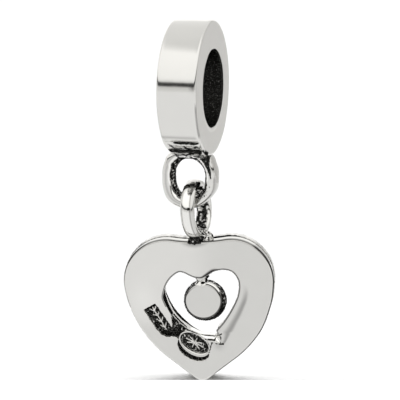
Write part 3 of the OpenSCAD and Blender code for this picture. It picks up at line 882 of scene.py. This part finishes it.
def neck():
    """The neck: an oval bar from the V of the opening down to the cup, pinched in the middle
    and dented by the tool that trimmed it."""
    top, length, middle_x, middle_y = -2.30, 0.72, 0.11, 0.62
    t = np.linspace(0, 1, 40)
    a = np.linspace(0, 2 * np.pi, 72, endpoint=False)[:, None]
    half_w = 0.36 + 0.26 * (2 * t - 1) ** 2
    half_d = 0.34 + 0.10 * (2 * t - 1) ** 2
    shut = np.sqrt(np.clip(1 - (2 * np.abs(t - 0.5)) ** 8, 0, 1))
    x = middle_x + 0.02 * t + np.cos(a) * (half_w * shut)
    y = middle_y - 0.17 * ramp(t, 0.3, 0.8) + np.sin(a) * (half_d * shut)
    points = np.stack([x, y, np.broadcast_to(top - length * t, x.shape)], -1)
    points[..., 1] += 0.05 * grain(points, 0.22, 51)
    points[..., 0] += 0.03 * grain(points, 0.2, 52)
    # painted shade: the upper part is black down both flanks, where the bar turns away
    flank = np.cos(a) * ramp(0.72 - t, 0, 0.2)
    oxide = most(np.clip(0.45 * grain(points, 0.13, 53) + 0.10, 0, 1), ramp(flank, 0.55, 0.8),
                 0.9 * ramp(-flank, 0.78, 0.92))
    points[:, 0], points[:, -1] = points[:, 0].mean(0), points[:, -1].mean(0)
    return surface("neck", in_heart(points), "drop", silver, oxide, 0.0, poles=True)


def lump(name, centre, half, matrix, seed, rough, black):
    """A solder lump: an ellipsoid with its surface pushed in and out by noise."""
    t = np.linspace(0, np.pi, 40)
    a = np.linspace(0, 2 * np.pi, 80, endpoint=False)
    unit = np.stack([np.sin(t) * np.cos(a)[:, None], np.sin(t) * np.sin(a)[:, None],
                     np.broadcast_to(np.cos(t), (80, 40))], -1)
    points = unit * half
    swell = 1 + rough * grain(points + seed, 0.16, seed) + 0.5 * rough * grain(points, 0.4, seed + 1)
    swell[:, 0], swell[:, -1] = 1, 1
    points = put(points * swell[..., None], matrix, centre)
    oxide = np.clip(black + 0.7 * grain(points, 0.13, seed + 2), 0, 1.2)
    oxide[:, 0], oxide[:, -1] = black, black
    return surface(name, points, "drop", silver, oxide, poles=True)


bead()
ear()
ring()
heart_plate()
cup()
neck()
# the solder on both sides of the ring's foot
foot = np.array([0.27, 0.0, NOTCH_Z + 0.04])
for name, shift, half, lean, seed, rough, black in (
        ("ring_solder_front", (-0.02, -0.5, 0.08), (0.52, 0.36, 0.30), -12, 61, 0.30, 0.80),
        ("ring_solder_rear", (0.26, 0.2, 0.10), (0.58, 0.60, 0.40), 20, 64, 0.26, 0.15)):
    lump(name, foot + shift, half, turn("y", lean), seed, rough, black)

# ------------ studio

# The camera: angles round the middle of the bead and distance, where it looks, and its focal
# length in points of a picture 400 wide
AZ, EL, DIST = 15.3, 6.5, 78.0
YAW, PITCH, FOCAL = 15.0335, 11.6292, 1250.0
SENSOR, PICTURE = 36.0, 400.0
TO_CAMERA = np.sin(np.radians(YAW)), -np.cos(np.radians(YAW)), 0
FLOOR_Z, FLOOR_HALF = -18.82, 1500.0


def matt(name, grey, roughness):
    """A plain grey material, its nodes and links, and its shader."""
    mat = bpy.data.materials.new(name)
    mat.use_nodes = True
    shader = mat.node_tree.nodes["Principled BSDF"]
    shader.inputs["Base Color"].default_value = (grey, grey, grey, 1)
    shader.inputs["Roughness"].default_value = roughness
    return mat, mat.node_tree.nodes, mat.node_tree.links, shader


def sheet(name, corners, material):
    """A flat four-cornered sheet, its corners in metres."""
    mesh = bpy.data.meshes.new(name)
    mesh.from_pydata(corners, [], [(0, 1, 2, 3)])
    mesh.materials.append(material)
    return in_scene(name, mesh)


cam_data = bpy.data.cameras.new("camera")
cam_data.sensor_width = SENSOR
cam_data.lens = SENSOR * FOCAL / PICTURE
cam_data.clip_start, cam_data.clip_end = 0.001, 20.0
camera = in_scene("camera", cam_data)
az, el = np.radians(AZ), np.radians(EL)
camera.location = DIST * MM * np.array([np.sin(az) * np.cos(el), -np.cos(az) * np.cos(el), np.sin(el)])
camera.rotation_euler = (np.radians(90 - PITCH), 0.0, np.radians(YAW))
bpy.context.scene.camera = camera

# in front of the tip the floor shines white by itself, from a strip between two distances
# ahead of the middle, so that the shadow ends in a straight edge
STRIP = 0.00074, 0.00084
pale, nodes, links, base = matt("pale_floor", 0.86, 0.9)
base.inputs["Specular IOR Level"].default_value = 0.0
where, along, step, white, join = (nodes.new("ShaderNode" + kind) for kind in (
    "TexCoord", "VectorMath", "MapRange", "Emission", "MixShader"))
along.operation = "DOT_PRODUCT"
along.inputs[1].default_value = TO_CAMERA
step.inputs["From Min"].default_value, step.inputs["From Max"].default_value = STRIP
white.inputs["Strength"].default_value = 1.11
links.new(where.outputs["Object"], along.inputs[0])
links.new(along.outputs["Value"], step.inputs["Value"])
links.new(step.outputs["Result"], join.inputs["Fac"])
links.new(base.outputs["BSDF"], join.inputs[1])
links.new(white.outputs["Emission"], join.inputs[2])
links.new(join.outputs["Shader"], nodes["Material Output"].inputs["Surface"])
floor = sheet("floor", [(x * FLOOR_HALF * MM, y * FLOOR_HALF * MM, FLOOR_Z * MM)
                        for x, y in ((-1, -1), (1, -1), (1, 1), (-1, 1))], pale)

# a grey card stands behind on the right, out of the picture, for the bead's end face to reflect;
# it glows by itself, painted light standing in for a lit card, and casts no shadow or diffuse light
grey, _, _, base = matt("glowing_grey_card", 0.2, 1.0)
base.inputs["Emission Color"].default_value = (1.0, 0.99, 0.97, 1)
base.inputs["Emission Strength"].default_value = 0.65
card = sheet("glowing_grey_card", [(0.006, 0.062, -0.030), (0.090, 0.040, -0.030),
                           (0.090, 0.040, 0.030), (0.006, 0.062, 0.030)], grey)
card.visible_camera = card.visible_shadow = card.visible_diffuse = False

# the room: bright above, with a dark strip just over the horizon; plain surfaces get less of it
world = bpy.data.worlds.new("studio")
bpy.context.scene.world = world
world.use_nodes = True
wn, wl = world.node_tree.nodes, world.node_tree.links
sky = wn["Background"]
coord, split, to_unit, facing, behind, blend, path, dim = (wn.new("ShaderNode" + kind) for kind in (
    "TexCoord", "SeparateXYZ", "Math", "VectorMath", "MapRange", "Mix", "LightPath", "Math"))
wl.new(coord.outputs["Generated"], split.inputs[0])
to_unit.operation = dim.operation = "MULTIPLY_ADD"
to_unit.inputs[1].default_value, to_unit.inputs[2].default_value = 0.5, 0.5
wl.new(split.outputs["Z"], to_unit.inputs[0])


def sky_ramp(stops):
    """Light of the surroundings over the height of the direction, from -1 to 1."""
    level = wn.new("ShaderNodeValToRGB")
    wl.new(to_unit.outputs[0], level.inputs["Fac"])
    elements = level.color_ramp.elements
    elements.remove(elements[-1])
    for k, (z, value) in enumerate(stops):
        stop = elements[0] if k == 0 else elements.new(z * 0.5 + 0.5)
        stop.position = z * 0.5 + 0.5
        stop.color = (value, value * 0.995, value * 0.98, 1)
    return level.outputs["Color"]


# on the camera's side a dark strip stands under a bright zone, behind the charm all is soft
facing.operation, blend.data_type = "DOT_PRODUCT", "RGBA"
facing.inputs[1].default_value = TO_CAMERA
wl.new(coord.outputs["Generated"], facing.inputs[0])
wl.new(facing.outputs["Value"], behind.inputs["Value"])
behind.inputs["From Min"].default_value, behind.inputs["From Max"].default_value = -0.02, -0.25
wl.new(behind.outputs["Result"], blend.inputs["Factor"])
wl.new(sky_ramp([(-1.0, 0.95), (0.0, 0.98), (0.11, 0.85), (0.14, 0.03), (0.22, 0.03), (0.265, 1.15),
                 (0.35, 1.36), (0.88, 1.46), (0.95, 1.02), (1.0, 0.98)]), blend.inputs[6])
wl.new(sky_ramp([(-1.0, 0.95), (0.0, 0.98), (0.15, 1.25), (0.32, 1.36), (0.42, 1.10), (1.0, 1.05)]),
       blend.inputs[7])
wl.new(blend.outputs[2], sky.inputs["Color"])
dim.inputs[1].default_value, dim.inputs[2].default_value = -0.85, 1.0
wl.new(path.outputs["Is Diffuse Ray"], dim.inputs[0])
wl.new(dim.outputs[0], sky.inputs["Strength"])

key = bpy.data.lights.new("overhead", "SUN")
key.energy, key.angle = 3.9, np.radians(62)
lamp = in_scene("overhead", key)
lamp.rotation_euler = (np.radians(-30), np.radians(-18), 0)
lamp.visible_glossy = False

bpy.context.scene.view_settings.view_transform = "Standard"
